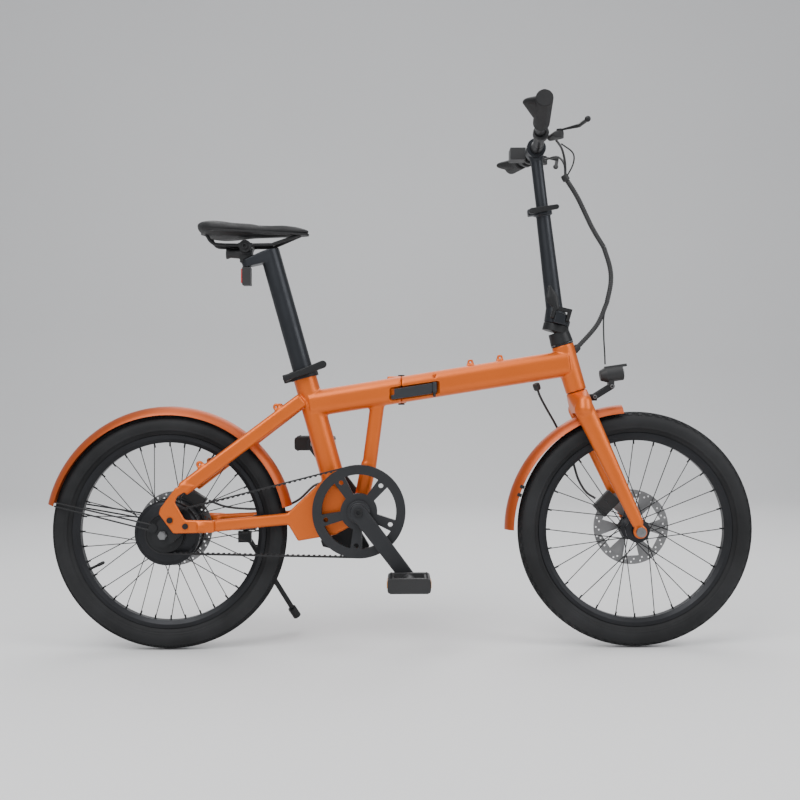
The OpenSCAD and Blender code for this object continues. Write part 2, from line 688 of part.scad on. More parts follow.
module front_frame() color("darkorange") difference() {
    union() {
        rod(head_foot, head_top, head_tube_d / 2 - 1.5, head_tube_d / 2);
        intersection() {
            bar(on_tube(fold_x - 40), tube_front, main_tube_w, main_tube_h, tube_corner);
            translate([fold_x + gap / 2, -100, 300]) cube([600, 200, 500]);
        }
        for (x = [635, 697]) plate([[x - 9, on_tube(x)[2] + main_tube_h / 2 - 3],
            [x + 9, on_tube(x)[2] + main_tube_h / 2 - 3], [x + 5, on_tube(x)[2] + main_tube_h / 2 + 13],
            [x - 5, on_tube(x)[2] + main_tube_h / 2 + 13]], -4, 4);
        fold_knuckles([0], 1);
    }
    for (x = [635, 697]) disc(on_tube(x, 0, main_tube_h / 2 + 7), eyelet_r, -10, 10, 32);
    rod(head_foot - head_up, head_top + head_up, steerer_r + 5);
    // Room for the frame's own knuckles and the pin
    fold_pin_bore();
    for (k = [-1, 1]) translate([fold_x, fold_pin_y, fold_at[2] + (k > 0 ? knuckle_half - gap : -knuckle_end - 6)])
        cylinder(h = 23, r = knuckle_r + gap, $fn = 48);
    latch_recess();
    latch_pivot(3 + running, 60);
    latch_pivot(6 + gap, 22);
}

latch_pivot_at = [558, -23, 547];
module latch_pivot(r, h) translate(latch_pivot_at - [0, 0, h / 2]) cylinder(h = h, r = r, $fn = 32);

module frame_latch() color("darkslategray") {
    difference() {
        translate([0, -main_tube_w / 2, 0])
            plate([[468, 522], [468, 531], [474, 532], [474, 544], [553, 556], [553, 534]], -1, 7.5);
        latch_pivot(8, 60);
    }
    latch_pivot(3, 40);
    latch_pivot(6, 21);
    translate([548, -main_tube_w / 2 + 1, 540]) cube([8, 5, 14]);
}

module headset() color("dimgray") difference() {
    union() {
        rod(head_foot, head_foot + 12 * head_up, steerer_r + 5);
        rod(head_top - 12 * head_up, head_top, steerer_r + 5);
        rod(head_top, head_top + 3 * head_up, head_tube_d / 2);
    }
    rod(head_foot - head_up, head_top + 9 * head_up, steerer_r + running);
}

// ---- Fork ----

module fork() color("darkorange") difference() {
    union() {
        rod(head_foot - 20 * head_up, hinge_at - 16 * head_up, steerer_r);
        hull() {
            rod(head_foot - 6 * head_up, head_foot - gap * head_up, head_tube_d / 2 - 1.5);
            both_sides() translate(leg_top + [0, -4, 14]) sphere(r = 17, $fn = 32);
            both_sides() translate(leg_top) sphere(r = 18, $fn = 32);
        }
        both_sides() hull() {
            translate(leg_top) scale([1, 0.62, 1]) sphere(r = 21, $fn = 32);
            translate(leg_foot + [-6, 0, 20]) scale([1, 0.6, 1]) sphere(r = 13, $fn = 32);
        }
        both_sides() disc(front_hub_at, 14, front_gap / 2, front_gap / 2 + 12, 64);
    }
    disc(front_hub_at, front_axle_r, -80, 80, 48);
    // Room for the tyre and the fender under the crown, and for the hub between the legs
    ring(front_hub_at) translate([0, -fender_w / 2 - 1.5]) square([front_fender_r + 9, fender_w + 3]);
    disc(front_hub_at, 30, -front_gap / 2, front_gap / 2, 48);
    disc(front_hub_at, rotor_r + 4, front_rotor_y - 2, front_rotor_y + rotor_t + 2, 64);
}

module front_fender() color("chocolate") fender_band(front_fender_at, front_fender_r, 93.8, 179.2);

module front_axle() color("silver") {
    disc(front_hub_at, front_axle_r, -front_gap / 2 - 14, front_gap / 2 + 14, 48);
    both_sides() disc(front_hub_at, 8, front_gap / 2 + 12, front_gap / 2 + 16, 48);
}

module front_caliper() color("dimgray") caliper(front_hub_at, 136, front_rotor_y, front_gap / 2 - 6);

// Clamp on the steerer with the lower plate of the hinge
plate_r = 27;
module stem_base() color("dimgray") difference() {
    union() {
        rod(head_top + 3.5 * head_up, hinge_at - 16 * head_up, 24, 22);
        translate(hinge_at) rotate([0, fold_tilt, 0]) {
            translate([0, 0, -16]) cylinder(h = 16 - gap / 2, r = plate_r, $fn = 64);
            for (x = [-20, 11]) translate([x, 0, -14]) cube([9, stem_pin_y, 14 - gap / 2]);
            for (x = [-20, 11]) translate([x, stem_pin_y, 0]) rotate([0, 90, 0]) cylinder(h = 9, r = 8, $fn = 48);
        }
    }
    rod(head_top, hinge_at - 15.9 * head_up, steerer_r);
    translate(hinge_at) rotate([0, fold_tilt, 0]) {
        translate([-11 - gap, stem_pin_y, 0]) rotate([0, 90, 0]) cylinder(h = 22 + 2 * gap, r = 8.5, $fn = 48);
    }
}

module handle_post() color("slategray") difference() {
    union() {
        rod(hinge_at + 10 * post_up, post_top, post_d / 2, post_d / 2 - 3);
        hull() {
            translate(hinge_at) rotate([0, fold_tilt, 0]) translate([0, 0, gap / 2]) cylinder(h = 12, r = plate_r, $fn = 32);
            rod(hinge_at + 34 * post_up, hinge_at + 36 * post_up, post_d / 2);
        }
        translate(hinge_at) rotate([0, fold_tilt, 0]) {
            translate([-11 + gap, 0, gap / 2]) cube([22 - 2 * gap, stem_pin_y, 12]);
            translate([-11 + gap, stem_pin_y, 0]) rotate([0, 90, 0]) cylinder(h = 22 - 2 * gap, r = 8, $fn = 48);
            translate([-12, latch_pin_y - 10, gap / 2]) cube([24, 20, 22]);
        }
        // Collar that clamps the bar post
        rod(post_top - 12 * post_up, post_top + 6 * post_up, post_d / 2 + 1.5);
        translate(post_top) rotate([0, -post_lean, 0]) translate([-32, -10, -10]) cube([18, 20, 14]);
    }
    rod(hinge_at + 60 * post_up, post_top + 20 * post_up, bar_post_d / 2 + running);
    translate(hinge_at) rotate([0, fold_tilt, 0]) {
        translate([-12, stem_pin_y, 0]) rotate([0, 90, 0]) cylinder(h = 24, r = stem_pin_r + running, $fn = 48);
        for (x = [-21, 11 - gap]) translate([x, stem_pin_y, 0]) rotate([0, 90, 0]) cylinder(h = 10 + gap, r = 8.5, $fn = 48);
    }
    latch_bolt(3 + running);
    translate(post_top) rotate([0, -post_lean, 0]) {
        translate([-26, -40, -3]) rotate([-90, 0, 0]) cylinder(h = 80, r = 2.5 + running, $fn = 32);
        translate([-40, -1, -12]) cube([30, 2, 20]);
    }
}

module latch_bolt(r) translate(hinge_at) rotate([0, fold_tilt, 0])
    translate([-20, latch_pin_y - 5, latch_pin_up]) rotate([0, 90, 0]) cylinder(h = 40, r = r, $fn = 32);

// Lever on the right of the hinge: it swings out and down
module stem_latch() color("dimgray") {
    latch_bolt(3);
    translate(hinge_at) rotate([0, fold_tilt, 0]) for (x = [-20, 12 + gap]) hull() {
        translate([x, latch_pin_y - 5, latch_pin_up]) rotate([0, 90, 0]) cylinder(h = 8 - gap, r = 6, $fn = 32);
        translate([x, latch_pin_y - 15, latch_pin_up + 13]) cube([8 - gap, 8, 8]);
    }
    translate(hinge_at) rotate([0, fold_tilt, 0])
        translate([-20, latch_pin_y - 15, latch_pin_up + 13]) cube([40, 8, 8]);
    hull() {
        translate(hinge_at + [-4, latch_pin_y - 11, 32]) sphere(r = 5, $fn = 24);
        translate(hinge_at + [-14, latch_pin_y - 10, 54]) scale([1.6, 0.6, 1.6]) sphere(r = 8, $fn = 24);
        translate(hinge_at + [-18, latch_pin_y - 8, 76]) sphere(r = 4, $fn = 24);
    }
}

module collar_lever() color("dimgray") translate(post_top) rotate([0, -post_lean, 0]) {
    translate([-26, -23, -3]) rotate([-90, 0, 0]) cylinder(h = 39, r = 2.5, $fn = 32);
    translate([-26, 10 + gap, -3]) rotate([-90, 0, 0]) cylinder(h = 5, r = 5, $fn = 32);
    translate([-26, -23, -3]) rotate([-90, 0, 0]) cylinder(h = 13 - gap, r = 5, $fn = 32);
    hull() {
        translate([-26, -29, -3]) rotate([-90, 0, 0]) cylinder(h = 7, r = 6, $fn = 32);
        translate([26, -32, -1]) rotate([-90, 0, 0]) cylinder(h = 5, r = 5, $fn = 32);
    }
}

module bar_post() color("slategray") difference() {
    union() {
        rod(hinge_at + 152 * post_up, bar_at - 4 * post_up, bar_post_d / 2);
        rod(bar_at - 26 * post_up, bar_at - 10 * post_up, bar_post_d / 2, 17);
        disc(bar_at, 20, -21, 21, 64);
    }
    disc(bar_at, bar_d / 2 + 2, -30, 30, 64);
}

module handlebar() color("dimgray") {
    disc(bar_at, bar_d / 2 + 2, -30, 30, 64);
    both_sides() {
        rod(bar_at + [0, 30, 0], bar_at + [0, bar_bend_y, 0], bar_d / 2 + 2, bar_d / 2);
        translate(bar_at + [0, bar_bend_y, 0]) sphere(r = bar_d / 2 + 0.6, $fn = 48);
        rod(grip_from, grip_to - 6 * grip_dir, bar_d / 2);
    }
}

module grips() color("black") both_sides() difference() {
    union() {
        rod(grip_to - grip_len * grip_dir, grip_to, 16.5);
        hull() {
            translate(grip_to - 26 * grip_dir + [-24, 0, 2]) scale([1.6, 2, 0.7]) sphere(r = 10, $fn = 24);
            translate(grip_to - 90 * grip_dir + [-12, 0, 2]) scale([1, 2, 0.7]) sphere(r = 8, $fn = 24);
            rod(grip_to - 100 * grip_dir, grip_to - 16 * grip_dir, 12);
        }
    }
    rod(grip_from, grip_to - 6 * grip_dir, bar_d / 2);
}

// Brake lever: the body on the bar and the blade in front of it
lever_pivot = bar_at + [34, 122, 2];
module brake_body() difference() {
    union() {
        rod(bar_at + [-3, 112, 5], bar_at + [-4, 128, 6], 16);
        hull() {
            rod(bar_at + [18, 96, 2], bar_at + [26, 128, 2], 6.5);
            translate(lever_pivot) cylinder(h = 14, r = 8, center = true, $fn = 32);
        }
    }
    rod(grip_from, grip_to, bar_d / 2);
}

module display() color("dimgray") {
    difference() {
        union() {
            translate(bar_at + [-46, 62, -6]) cube([34, 40, 26]);
            rod(bar_at + [-1.5, 70, 2], bar_at + [-2.5, 84, 3], 16);
        }
        rod(grip_from, grip_to, bar_d / 2);
    }
    both_sides() brake_body();
}

module blade() {
    translate(lever_pivot + [0, 0, 7 + gap]) cylinder(h = 4, r = 7, $fn = 32);
    hull() {
        translate(lever_pivot + [4, 4, 9.5]) sphere(r = 2, $fn = 20);
        translate(lever_pivot + [34, 30, 11]) sphere(r = 4, $fn = 20);
    }
    hull() {
        translate(lever_pivot + [34, 30, 11]) sphere(r = 4, $fn = 20);
        translate(lever_pivot + [40, 88, 8]) sphere(r = 4, $fn = 20);
    }
    translate(lever_pivot + [40, 92, 8]) sphere(r = 6, $fn = 24);
}

module left_brake_lever() color("dimgray") blade();
module right_brake_lever() color("dimgray") mirror([0, 1, 0]) blade();

module lamp_bracket() color("dimgray") {
    low = head_foot + [37, 0, -12];
    high = head_foot + [73, 0, 10];
    both_sides() hull() {
        disc(low, 6, 11, 14, 32);
        disc(high, 6, 11, 14, 32);
    }
    disc(high, 3, -14, 14, 32);
    translate(head_foot + [28, -11, -20]) cube([14, 22, 14]);
}

module headlight() color("dimgray") difference() {
    union() {
        translate(lamp_at) rotate([0, 82, 0]) {
            translate([0, 0, -26]) cylinder(h = 12, r1 = 11, r2 = 16, $fn = 64);
            translate([0, 0, -14]) cylinder(h = 36, r = 16, $fn = 64);
            translate([-18, -9, -14]) cube([6, 18, 46]);
        }
        translate(head_foot + [67, -10, 6]) cube([12, 20, 18]);
        disc(head_foot + [73, 0, 10], 6, -10, 10, 32);
    }
    disc(head_foot + [73, 0, 10], 3 + running, -20, 20, 32);
}

// ---- Cables ----

loom_points = [[836, -8, 986], [861, -9, 945], [891, -9, 882], [916, -8, 840], [929, -6, 798], [931, -4, 765],
    [923, -2, 724], [902, 0, 677], [858, 0, 627]];
front_hose_points = [[776, 12, 548], [784, 22, 528], [800, 34, 500], [818, 42, 470], [838, 46, 430], [856, 46, 390],
    [868, 44, 350], [884, 40, 322], [904, 38, 308]];
lamp_wire_points = [[921, -2, 716], [916, -3, 690], [916, -3, 650], [918, -1, 620], [919, 0, 594]];
right_lead_points = [[836, -10, 986], [834, -16, 1018], [824, -40, 1040], [806, -88, 1046]];
left_lead_points = [[836, -6, 986], [836, 6, 1018], [826, 36, 1040], [806, 88, 1046]];
module control_cables() color("black") translate([wheelbase - 979, 0, 0]) {
    cable(curve(loom_points, 2), 5.4);
    cable(curve(front_hose_points, 2), 2.5);
    cable(curve(lamp_wire_points, 1), 1.6);
    cable(curve(right_lead_points, 2), 2.5);
    cable(curve(left_lead_points, 2), 2.5);
}

placed() rear_frame();
placed() rear_stays();
placed() dropouts();
placed() dropout_bolts();
placed() hinge_pin();
placed() rear_axle();
placed() bottom_bracket();
placed() rear_fender();
placed() fender_stays();
placed() rear_caliper();
placed() rear_brake_hose();
placed() seat_collar();
placed() kickstand_bracket();
placed() rest_foot();
placed() drive_belt();
placed() seat_lever();
placed() kickstand_leg();
placed() seat_post();
placed() battery();
placed() saddle_clamp();
placed() saddle_rails();
placed() saddle_shell();
placed() saddle_cover();
placed() rear_light();
placed() rear_tyre();
placed() rear_rim();
placed() rear_spokes();
placed() motor_hub();
placed() rear_rotor();
placed() rear_sprocket();
placed() chainring();
placed() crank_arms();
placed() pedal_spindles();
placed() right_pedal();
placed() left_pedal();
placed() front_frame();
placed() headset();
placed() frame_latch();
placed() fork();
placed() front_fender();
placed() front_axle();
placed() front_caliper();
placed() stem_base();
placed() lamp_bracket();
placed() headlight();
placed() front_tyre();
placed() front_rim();
placed() front_spokes();
placed() front_hub();
placed() front_rotor();
placed() handle_post();
placed() stem_latch();
placed() collar_lever();
placed() bar_post();
placed() handlebar();
placed() grips();
placed() display();
placed() right_brake_lever();
placed() left_brake_lever();
placed() control_cables();
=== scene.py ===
import bpy, bmesh, json, math
from mathutils import Matrix, Vector
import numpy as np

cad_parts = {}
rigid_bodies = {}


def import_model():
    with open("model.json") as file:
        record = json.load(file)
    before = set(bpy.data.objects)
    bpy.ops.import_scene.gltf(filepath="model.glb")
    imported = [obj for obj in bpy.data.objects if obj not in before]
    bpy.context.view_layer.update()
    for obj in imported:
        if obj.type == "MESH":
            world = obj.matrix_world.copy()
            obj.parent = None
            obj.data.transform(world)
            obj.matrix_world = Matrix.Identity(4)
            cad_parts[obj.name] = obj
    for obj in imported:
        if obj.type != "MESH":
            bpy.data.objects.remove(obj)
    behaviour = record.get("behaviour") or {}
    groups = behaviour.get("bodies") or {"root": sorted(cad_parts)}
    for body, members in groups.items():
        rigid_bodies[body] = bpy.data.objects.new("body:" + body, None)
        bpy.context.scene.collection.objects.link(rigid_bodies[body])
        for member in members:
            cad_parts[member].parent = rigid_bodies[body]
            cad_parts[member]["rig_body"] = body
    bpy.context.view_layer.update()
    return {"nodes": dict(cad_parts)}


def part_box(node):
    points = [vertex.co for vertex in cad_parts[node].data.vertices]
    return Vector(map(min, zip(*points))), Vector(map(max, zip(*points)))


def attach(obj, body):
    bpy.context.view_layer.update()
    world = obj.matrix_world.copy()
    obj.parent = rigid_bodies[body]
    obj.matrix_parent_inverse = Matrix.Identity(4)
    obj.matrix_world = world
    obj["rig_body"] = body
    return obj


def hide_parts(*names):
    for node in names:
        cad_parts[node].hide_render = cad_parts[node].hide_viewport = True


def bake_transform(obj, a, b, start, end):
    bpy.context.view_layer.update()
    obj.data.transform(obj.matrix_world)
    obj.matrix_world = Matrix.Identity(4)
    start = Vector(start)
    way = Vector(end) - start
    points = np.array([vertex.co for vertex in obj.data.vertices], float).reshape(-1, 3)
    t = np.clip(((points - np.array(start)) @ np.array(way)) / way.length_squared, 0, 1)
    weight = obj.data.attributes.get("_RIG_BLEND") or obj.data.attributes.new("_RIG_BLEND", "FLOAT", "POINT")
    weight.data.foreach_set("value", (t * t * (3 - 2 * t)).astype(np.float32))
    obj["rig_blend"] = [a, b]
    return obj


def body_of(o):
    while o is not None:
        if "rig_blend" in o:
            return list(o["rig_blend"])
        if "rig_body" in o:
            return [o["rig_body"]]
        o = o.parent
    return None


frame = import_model()
nodes = frame["nodes"]
bpy.ops.object.select_all(action="DESELECT")

# ---- Studio: a pale floor that rises into the background, and soft lights ----
# The camera stands square to the drive side, at about half the bicycle's height.
bpy.ops.object.camera_add(location=(0.001, -2.30, 0.521), rotation=(math.pi / 2, 0.005, 0))
camera = bpy.context.object
camera.data.lens = 49.05
camera.data.sensor_width = 36
bpy.context.scene.camera = camera

bpy.ops.mesh.primitive_plane_add(size=1)
floor = bpy.context.object
floor.name = "floor"
floor_half, floor_front, sweep_from, sweep_r, steps = 8, -5, 3.2, 1.6, 8
for corner in floor.data.vertices:
    corner.co = (corner.co.x * 2 * floor_half, floor_front if corner.co.y < 0 else sweep_from, -0.0015)
bpy.ops.object.mode_set(mode="EDIT")
bpy.ops.mesh.select_all(action="DESELECT")
bpy.ops.object.mode_set(mode="OBJECT")
for edge in floor.data.edges:
    edge.select = all(floor.data.vertices[v].co.y > 0 for v in edge.vertices)
bpy.ops.object.mode_set(mode="EDIT")
for step in range(1, steps + 1):
    turn = math.radians(90 * step / steps)
    before = math.radians(90 * (step - 1) / steps)
    bpy.ops.mesh.extrude_region_move(TRANSFORM_OT_translate={"value": (
        0, sweep_r * (math.sin(turn) - math.sin(before)), sweep_r * (math.cos(before) - math.cos(turn)))})
bpy.ops.mesh.extrude_region_move(TRANSFORM_OT_translate={"value": (0, 0, 5)})
bpy.ops.object.mode_set(mode="OBJECT")
bpy.ops.object.shade_smooth()


class Wire:
    """One socket of a shader: sums and products on it add Math nodes."""

    def __init__(self, paint, socket):
        self.paint, self.socket = paint, socket

    def math(self, operation, *others):
        return self.paint.node("ShaderNodeMath", {"operation": operation}, [self, *others])

    def __add__(self, other):
        return self.math("ADD", other)

    __radd__ = __add__

    def __mul__(self, other):
        return self.math("MULTIPLY", other)

    def clamp(self, low, high):
        return self.paint.node("ShaderNodeMapRange", {"clamp": True}, {"Value": self, "From Min": low,
                               "From Max": high})


class Paint:
    """A finish: one material with its nodes. set() fills the shader's own sockets."""

    def __init__(self, name, **constants):
        self.name = name
        self.material = bpy.data.materials.new(name)
        self.material.use_nodes = True
        self.tree = self.material.node_tree
        self.shader = self.tree.nodes["Principled BSDF"]
        self.place = self.node("ShaderNodeTexCoord", {}, {}, "Object")
        for socket, value in constants.items():
            self.shader.inputs[socket.replace("_", " ")].default_value = value

    def node(self, kind, settings, links, output=0):
        made = self.tree.nodes.new(kind)
        for key, value in settings.items():
            setattr(made, key, value)
        for key, value in (links.items() if isinstance(links, dict) else enumerate(links)):
            if isinstance(value, Wire):
                self.tree.links.new(value.socket, made.inputs[key])
            else:
                made.inputs[key].default_value = value
        return Wire(self, made.outputs[output])

    def noise(self, scale, detail=3, roughness=0.5):
        return self.node("ShaderNodeTexNoise", {}, {"Vector": self.place, "Scale": scale,
                         "Detail": detail, "Roughness": roughness})

    def cells(self, scale, feature="F1"):
        return self.node("ShaderNodeTexVoronoi", {"feature": feature}, {"Vector": self.place,
                         "Scale": scale})

    def blend(self, factor, first, second):
        """A mix of two colours, each of which is red, green and blue, or a socket."""
        first, second = ((*c, 1) if isinstance(c, tuple) else c for c in (first, second))
        return self.node("ShaderNodeMix", {"data_type": "RGBA"}, {0: factor, 6: first, 7: second}, 2)

    def set(self, **links):
        for socket, wire in links.items():
            self.tree.links.new(wire.socket, self.shader.inputs[socket.replace("_", " ")])
        return self

    def bump(self, height, strength, distance):
        return self.set(Normal=self.node("ShaderNodeBump", {}, {"Height": height, "Strength": strength,
                        "Distance": distance}))

    def on(self, *things):
        for thing in things:
            piece = nodes[thing] if isinstance(thing, str) else thing
            piece.data.materials.clear()
            piece.data.materials.append(self.material)
        return self


studio_floor = Paint("studio_floor", Roughness=0.75, Specular_IOR_Level=0.15)
studio_floor.set(Base_Color=studio_floor.blend(studio_floor.noise(0.8), (0.72, 0.72, 0.72),
                                               (0.76, 0.76, 0.76)))
studio_floor.on(floor)

for light_name, place, size, watts in (
        ("key_light", (-1.6, -2.8, 3.2), 2.6, 125),
        ("side_light", (2.9, -1.9, 2.2), 2.0, 62),
        ("back_light", (0.2, 2.4, 3.0), 3.0, 55),
        ("top_light", (0, -0.4, 3.6), 3.2, 66)):
    bpy.ops.object.light_add(type="AREA", location=place)
    light = bpy.context.object
    light.name = light_name
    light.data.size = size
    light.data.energy = watts
    light.rotation_euler = (Vector((0, 0, 0.5)) - Vector(place)).to_track_quat("-Z", "Y").to_euler()
world = bpy.data.worlds.new("studio")
bpy.context.scene.world = world
world.use_nodes = True
world.node_tree.nodes["Background"].inputs["Color"].default_value = (0.93, 0.95, 1.0, 1)
world.node_tree.nodes["Background"].inputs["Strength"].default_value = 0.5

# ---- Places that several groups use ----
# The wheels' centres, and the bores of the seat tube and the handle post with their lean in degrees.
def middle(node):
    low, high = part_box(node)
    return (low + high) / 2


rear_hub = middle("rear_tyre")
front_hub = middle("front_tyre")
seat_mouth = Vector((rear_hub.x + 0.284, 0, 0.575))
seat_lean, seat_bore_r, seat_bore_deep, collar_deep = 15.4, 0.0216, 0.258, 0.03
stem_hinge = Vector((rear_hub.x + 0.8166, 0, 0.6777))
post_lean, post_bore_r, post_bore_deep, post_long = 6.6, 0.0131, 0.182, 0.246

# ---- Frame ----
# Welded aluminium tubes: the rear frame with its stays and ends, and the front frame, which folds on it.
# The welds are filed smooth, and the whole is sprayed in a satin metallic orange.
def welded(name, parts, voxel, rounds, body):
    """One skin over CAD pieces that are welded together, with a fillet at every joint."""
    bpy.ops.object.select_all(action="DESELECT")
    for part in parts:
        copy = nodes[part].copy()
        copy.data = nodes[part].data.copy()
        copy.parent = None
        for key in list(copy.keys()):
            del copy[key]
        bpy.context.scene.collection.objects.link(copy)
        copy.select_set(True)
        bpy.context.view_layer.objects.active = copy
    if len(parts) > 1:
        bpy.ops.object.join()
    piece = bpy.context.object
    piece.name = name
    bpy.ops.object.mode_set(mode="EDIT")
    bpy.ops.mesh.select_all(action="SELECT")
    bpy.ops.mesh.remove_doubles(threshold=0.00001)
    bpy.ops.object.mode_set(mode="OBJECT")
    modifier = piece.modifiers.new("skin", "REMESH")
    modifier.mode, modifier.voxel_size = "VOXEL", voxel
    bpy.ops.object.modifier_apply(modifier="skin")
    modifier = piece.modifiers.new("fillet", "SMOOTH")
    modifier.factor, modifier.iterations = 0.5, rounds
    bpy.ops.object.modifier_apply(modifier="fillet")
    bpy.ops.object.shade_smooth()
    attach(piece, body)
    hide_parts(*parts)
    return piece


def bored(piece, mouth, lean, depth, radius):
    """Opens a leaning bore again to its radius, where the remesh and the fillet have narrowed it."""
    along = Vector((math.sin(math.radians(lean)), 0, -math.cos(math.radians(lean))))
    for point in piece.data.vertices:
        offset = point.co - mouth
        down = offset.dot(along)
        off = offset - along * down
        if -0.03 < down < depth and 0 < off.length < radius:
            point.co += off * (radius / off.length - 1)


def sprayed(name, colour, deep):
    """Satin metallic paint: fine flakes, a slow drift of colour and a faint orange peel."""
    paint = Paint(name, Metallic=0.50, Coat_Weight=0.15, Coat_Roughness=0.30, Coat_IOR=1.45)
    flake = paint.cells(2600).clamp(0.1, 0.9)
    drift = paint.noise(7, 2)
    tone = paint.blend(drift, deep, colour)
    bright = tuple(min(1, c * 1.25 + 0.02) for c in colour)
    paint.set(Base_Color=paint.blend(flake * 0.35, tone, bright),
              Roughness=0.34 + paint.noise(30, 2) * 0.08 + flake * 0.05)
    paint.bump(paint.noise(420, 2) + flake * 0.25, 0.06, 0.0004)
    return paint


frame_paint = sprayed("frame_orange", (0.66, 0.125, 0.002), (0.52, 0.085, 0.001))
fender_paint = sprayed("fender_orange", (0.43, 0.070, 0.002), (0.33, 0.048, 0.001))
for name, parts, voxel, rounds, body in (
        ("rear_frame_skin", ("rear_frame", "rear_stays", "dropouts"), 0.0021, 9, "rear_frame"),
        ("front_frame_skin", ("front_frame",), 0.0017, 9, "front_frame"),
        ("fork_skin", ("fork",), 0.0017, 9, "fork")):
    skin = welded(name, parts, voxel, rounds, body)
    frame_paint.on(skin)
bored(bpy.data.objects["rear_frame_skin"], seat_mouth, seat_lean, seat_bore_deep, seat_bore_r)
fender_paint.on("rear_fender", "front_fender")


# ---- Tyres ----
# 20 inch road tyres in plain black rubber, with small sunk sipes over the tread and a fine line on each wall.
tyre_radius = (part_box("rear_tyre")[1].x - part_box("rear_tyre")[0].x) / 2
tyre_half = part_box("rear_tyre")[1].y


def edit(piece):
    """Opens a piece in edit mode with everything selected."""
    bpy.ops.object.select_all(action="DESELECT")
    piece.select_set(True)
    bpy.context.view_layer.objects.active = piece
    bpy.ops.object.mode_set(mode="EDIT")
    bpy.ops.mesh.select_all(action="SELECT")


def done(angle=None):
    """Closes edit mode, turns the faces outwards and smooths the shading."""
    bpy.ops.mesh.select_all(action="SELECT")
    bpy.ops.mesh.remove_doubles(threshold=0.000005)
    bpy.ops.mesh.normals_make_consistent(inside=False)
    bpy.ops.object.mode_set(mode="OBJECT")
    if angle is None:
        bpy.ops.object.shade_smooth()
    else:
        bpy.ops.object.shade_smooth_by_angle(angle=math.radians(angle))
    return bpy.context.object


def pick(piece, rule):
    """Selects the faces that a rule of centre and normal keeps, and leaves edit mode open on faces."""
    bpy.ops.object.mode_set(mode="OBJECT")
    for face in piece.data.polygons:
        face.select = False
    for edge in piece.data.edges:
        edge.select = False
    for point in piece.data.vertices:
        point.select = False
    for face in piece.data.polygons:
        face.select = rule(face.center, face.normal)
    bpy.ops.object.mode_set(mode="EDIT")
    bpy.ops.mesh.select_mode(type="FACE")


def turned(name, outline, centre, steps=96, axis=(0, 1, 0), angle=30):
    """A turned piece: a closed outline of (radius, along the axis) points, spun about an axis."""
    bpy.ops.object.select_all(action="DESELECT")
    along = Vector(axis).normalized()
    out = along.orthogonal().normalized()
    bpy.ops.mesh.primitive_circle_add(vertices=len(outline), radius=0.01)
    piece = bpy.context.object
    piece.name = name
    for point, (radius, distance) in zip(piece.data.vertices, outline):
        point.co = Vector(centre) + out * radius + along * distance
    edit(piece)
    bpy.ops.mesh.spin(steps=steps, angle=2 * math.pi, center=tuple(centre), axis=tuple(along))
    return done(angle)


def tyre(name, hub, node, body):
    crown = tyre_radius - tyre_half
    seat = 0.198
    ring = [(crown + tyre_half * math.cos(math.radians(a)), tyre_half * math.sin(math.radians(a)))
            for a in range(-135, 136, 9)]
    inner = [(crown - 0.006, 0.016), (0.204, 0.0078), (seat, 0.0078), (seat, 0.0105), (0.203, 0.0105)]
    lip = [(r, -y) for r, y in reversed(inner)]
    piece = turned(name, ring + list(reversed(inner)) + [(crown, 0.0)] + list(reversed(lip)), hub, 216)

    def tread(middle, normal):
        out = math.hypot(middle.x - hub.x, middle.z - hub.z)
        turn = round(math.degrees(math.atan2(middle.z - hub.z, middle.x - hub.x)) * 216 / 360 + 0.5)
        row = round((middle.y - hub.y) / 0.0032)
        return out > tyre_radius - 0.0085 and (turn + abs(row)) % 3 != 0 and abs(row) > 0
    pick(piece, tread)
    bpy.ops.mesh.inset(use_individual=True, thickness=0.00055, depth=-0.0009)
    pick(piece, lambda middle, normal: abs(math.hypot(middle.x - hub.x, middle.z - hub.z) - 0.2145) < 0.0016
         and abs(middle.y) > 0.012)
    bpy.ops.mesh.inset(thickness=0.0005, depth=0.0004)
    done(35)
    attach(piece, body)
    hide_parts(node)
    return piece


rubber = Paint("tyre_rubber", Specular_IOR_Level=0.22)
dust = rubber.noise(9, 4).clamp(0.35, 0.8)
rubber.set(Base_Color=rubber.blend(dust, (0.0115, 0.0118, 0.0125), (0.024, 0.0245, 0.026)),
           Roughness=0.50 + rubber.noise(60, 3) * 0.22)
rubber.bump(rubber.noise(1500, 2) * 0.6 + rubber.noise(260, 2) * 0.4, 0.18, 0.0003)
rubber.on(tyre("rear_tyre_tread", rear_hub, "rear_tyre", "rear_wheel"),
          tyre("front_tyre_tread", front_hub, "front_tyre", "front_wheel"))


# ---- Rims, spokes and valves ----
# Anodised double wall rims, black steel spokes with brass nipples blacked over, and a valve in each rim.
anodised = Paint("alloy_black", Metallic=0.75, Specular_IOR_Level=0.5)
grain = anodised.noise(900, 2)
anodised.set(Base_Color=anodised.blend(anodised.noise(14, 3), (0.014, 0.0145, 0.016), (0.030, 0.031, 0.034)),
             Roughness=0.30 + grain * 0.16 + anodised.noise(25, 2) * 0.1)
anodised.bump(grain, 0.05, 0.0002)
anodised.on("rear_rim", "front_rim", "front_hub", "motor_hub", "handlebar")

black_steel = Paint("black_metal", Metallic=0.45, Specular_IOR_Level=0.5)
scuff = black_steel.noise(60, 5, 0.7).clamp(0.62, 0.75)
black_steel.set(Base_Color=black_steel.blend(scuff * 0.3, (0.014, 0.0145, 0.0155), (0.07, 0.07, 0.07)),
                Roughness=0.36 + black_steel.noise(90, 3) * 0.22)
black_steel.bump(black_steel.noise(1200, 2), 0.08, 0.0003)
black_steel.on("rear_spokes", "front_spokes", "dropout_bolts", "hinge_pin", "kickstand_bracket",
               "kickstand_leg", "rest_foot", "fender_stays", "headset", "bottom_bracket", "saddle_rails", "rear_sprocket")

